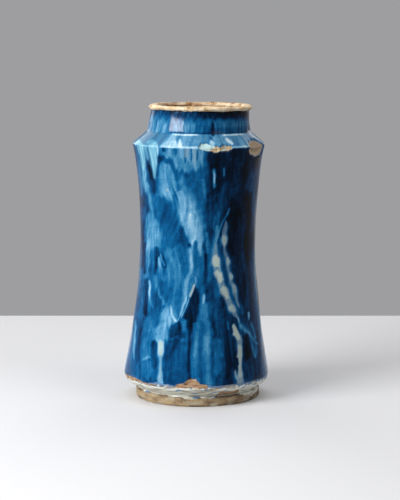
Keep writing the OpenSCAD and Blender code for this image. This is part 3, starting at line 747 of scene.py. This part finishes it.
# A pale line at the foot of the neck, left and right of the middle: a painted highlight where the concave
# joint reflects the light.
neck_foot_line_and_highlight = smooth(1.0, 0.4, np.abs(height - neck_z + 0.5))
neck_highlight_left = smooth(-27, -23, across) * smooth(3, -3, across)
neck_highlight_right = smooth(20, 25, across) * smooth(46, 40, across)
neck_foot_line_and_highlight = neck_foot_line_and_highlight * (neck_highlight_left + neck_highlight_right)
tone = tone + 0.9 * neck_foot_line_and_highlight * front * (1.0 - tone)
veil = smooth(0.2, 2.0, waves(turn + sway, height, 6, 60, 93))
veil = veil * smooth(-0.4, 1.0, waves(turn, height, 34, 60, 94))
tone = tone + (1 - neck_part) * (1 - slope_part) * smooth(0.15, 0.35, tone) * 0.08 * veil
cloud = waves(turn + sway, height, 13, 45, 95) + 0.5 * waves(turn + sway, height, 6, 22, 96)
tone = tone + (1 - neck_part) * (1 - slope_part) * 0.028 * cloud
tone = tone - (0.015 * (1 - neck_part) + 0.035 * smooth(-5, -40, np.degrees(turn))) * front
tone = tone + 0.022 * streak + 0.018 * fine + 0.015 * waves(turn, height, 7, 9, 91)
scratch = smooth(1.3, 0.2, np.abs(height - 219.7)) * smooth(-2.5, -0.5, seen) * smooth(9.5, 7, seen)
tone = tone + 0.11 * scratch * front
inside, lost = broken(turn, height)
hem = 0.7 * waves(turn, 0, 24, 24, 86) + 0.25 * waves(turn, 0, 7, 7, 87)
hem = 22.4 + hem * (1 - 0.6 * smooth(0.2, 0.5, turn))
gone = np.maximum(smooth(-0.2, 0.12, inside), smooth(0.7, -0.5, height - hem))
swell = 0.10 * waves(turn, height, 24, 60, 88) + 0.10 * tone + 0.10 * cream
sunk = gone * (2.4 + lost) - swell * (1 - gone)
kept = (np.arange(len(outer)) % 7 == 0) | (np.abs(outer[:, 1] - 255) < 16) | (outer[:, 1] < edge_z + 10)
inner = outer[kept][::-1]
inner_face = face[kept][::-1]
inner_sunk = np.maximum(glaze_t, sunk[kept][::-1] + 0.3)
radius = np.vstack([outer[:, :1] - face[:, :1] * sunk, inner[:, :1] - inner_face[:, :1] * inner_sunk])
rows = np.zeros((len(inner), len(turn)))
spun_height = np.vstack([height - face[:, 1:] * sunk, inner[:, 1:] - inner_face[:, 1:] * inner_sunk])
cobalt = bpy.data.materials.new("cobalt blue lead glaze")
cobalt.use_nodes = True
tree = cobalt.node_tree
shader = tree.nodes["Principled BSDF"]
place = add(tree, "ShaderNodeTexCoord").outputs["Object"]
pulled = add(tree, "ShaderNodeMapping", {"Vector": place, "Scale": (1, 1, 0.07)}).outputs[0]
hair = add(tree, "ShaderNodeTexNoise", {"Vector": pulled, "Scale": 1 / (2.6 * MM), "Detail": 4.0,
                                        "Roughness": 0.55, "Distortion": 0.7})
speck = add(tree, "ShaderNodeTexNoise", {"Vector": place, "Scale": 1 / (1.5 * MM), "Detail": 3.0})
depth = add(tree, "ShaderNodeAttribute", attribute_name="tone").outputs["Fac"]
hairs = add(tree, "ShaderNodeMapRange", {"Value": hair.outputs["Fac"], "From Min": 0.25, "From Max": 0.75,
                                         "To Min": -0.045, "To Max": 0.045})
specks = add(tree, "ShaderNodeMapRange", {"Value": speck.outputs["Fac"], "From Min": 0.3, "From Max": 0.7,
                                          "To Min": -0.045, "To Max": 0.045})
mixed = add(tree, "ShaderNodeMath", {0: depth, 1: hairs.outputs[0]}, operation="ADD")
mixed = add(tree, "ShaderNodeMath", {0: mixed.outputs[0], 1: specks.outputs[0]}, operation="ADD")
blue = add(tree, "ShaderNodeValToRGB", {"Fac": mixed.outputs[0]}, [
    (0.0, "#000812"), (1.0, "#c9dee4"), (0.15, "#001c39"), (0.3, "#043d69"), (0.45, "#0a5a8c"),
    (0.6, "#3279a2"), (0.75, "#639bc0"), (0.9, "#9dc5d9")])
thin = add(tree, "ShaderNodeAttribute", attribute_name="cream").outputs["Fac"]
green = add(tree, "ShaderNodeAttribute", attribute_name="turquoise").outputs["Fac"]
drips = add(tree, "ShaderNodeMix", {"Factor": green, "A": blue.outputs[0], "B": linear("#84c2cf")},
            data_type="RGBA")
ragged = add(tree, "ShaderNodeMath", {0: thin, 1: hairs.outputs[0]}, operation="ADD")
clear = add(tree, "ShaderNodeMapRange", {"Value": ragged.outputs[0], "From Min": 0.1, "From Max": 1.06})
whole = add(tree, "ShaderNodeMix",
            {"Factor": clear.outputs[0], "A": drips.outputs[2], "B": linear("#c7d2be")}, data_type="RGBA")
tree.links.new(whole.outputs[2], shader.inputs["Base Color"])
shader.inputs["Roughness"].default_value = 0.10
shader.inputs["Specular IOR Level"].default_value = 0.10
ripple = add(tree, "ShaderNodeTexNoise", {"Vector": place, "Scale": 1 / (7 * MM), "Detail": 2.0})
skin = add(tree, "ShaderNodeBump", {"Height": ripple.outputs["Fac"], "Distance": 0.35 * MM, "Strength": 0.25})
tree.links.new(skin.outputs["Normal"], shader.inputs["Normal"])
spun("blue-glaze", turn, radius, spun_height, "blue_glaze", "blue_glaze", cobalt,
     tone=np.vstack([tone, rows]), cream=np.vstack([cream, rows]), turquoise=np.vstack([turquoise, rows]))

# Floor, light and camera: a plain pale floor under soft studio light, seen from a little above the jar.
floor_mesh = bpy.data.meshes.new("floor")
reach = 0.45
bend = np.linspace(-np.pi / 2, np.pi / 2, 49)
border = np.column_stack([reach * np.sin(bend), -reach * np.cos(bend), 0 * bend]).tolist()
border += [(reach, 0.25, 0), (0.28, reach, 0), (-0.28, reach, 0), (-reach, 0.25, 0)]
floor_mesh.from_pydata(border, [], [range(len(border))])
floor = bpy.data.objects.new("floor", floor_mesh)
bpy.context.scene.collection.objects.link(floor)
paper = bpy.data.materials.new("pale paper")
paper.use_nodes = True
paper.node_tree.nodes["Principled BSDF"].inputs["Base Color"].default_value = linear("#e0e0e2")
paper.node_tree.nodes["Principled BSDF"].inputs["Roughness"].default_value = 0.9
floor_mesh.materials.append(paper)
world = bpy.data.worlds.new("studio")
world.use_nodes = True
sky = world.node_tree.nodes["Background"]
sky.inputs["Color"].default_value = linear("#9e9ea0")
rays = add(world.node_tree, "ShaderNodeLightPath").outputs
shown = add(world.node_tree, "ShaderNodeMath",
            {0: rays["Is Camera Ray"], 1: rays["Is Glossy Ray"]}, operation="ADD")
shown = add(world.node_tree, "ShaderNodeMath",
            {0: shown.outputs[0], 1: rays["Is Transmission Ray"]}, operation="ADD")
level = add(world.node_tree, "ShaderNodeMapRange", {"Value": shown.outputs[0], "To Min": 0.21, "To Max": 1.0})
world.node_tree.links.new(level.outputs[0], sky.inputs["Strength"])
bpy.context.scene.world = world
jar_middle = Vector((0, 0, 0.15))
for name, spot, wide, tall, power in (("key", (-1.3, -1.5, 1.3), 1.2, 1.2, 9.5),
                                      ("window", (-1.19, -0.91, 0.69), 0.95, 0.18, 25.5),
                                      ("overhead", (0, 0.2, 2.3), 2.4, 2.4, 26.0),
                                      ("fill", (1.4, -1.2, 1.4), 1.2, 1.2, 10.0),
                                      ("right back", (0.9, 1.6, 0.9), 0.9, 1.2, 4.0),
                                      ("left back", (-1.0, 1.6, 0.9), 0.9, 1.2, 6.0)):
    lamp = bpy.data.lights.new(name, "AREA")
    lamp.shape = "RECTANGLE"
    lamp.size = wide
    lamp.size_y = tall
    lamp.energy = power
    light = bpy.data.objects.new(name, lamp)
    light.location = spot
    light.rotation_euler = (jar_middle - Vector(spot)).to_track_quat("-Z", "Y").to_euler()
    bpy.context.scene.collection.objects.link(light)
camera = bpy.data.objects.new("camera", bpy.data.cameras.new("camera"))
camera.data.lens = 126.3
camera.data.sensor_width = 36.0
camera.location = (0.0038, -1.717, 0.380)
camera.rotation_euler = (np.radians(90 - 7.80), 0, 0)
bpy.context.scene.collection.objects.link(camera)
bpy.context.scene.camera = camera
bpy.context.scene.view_settings.view_transform = "Standard"
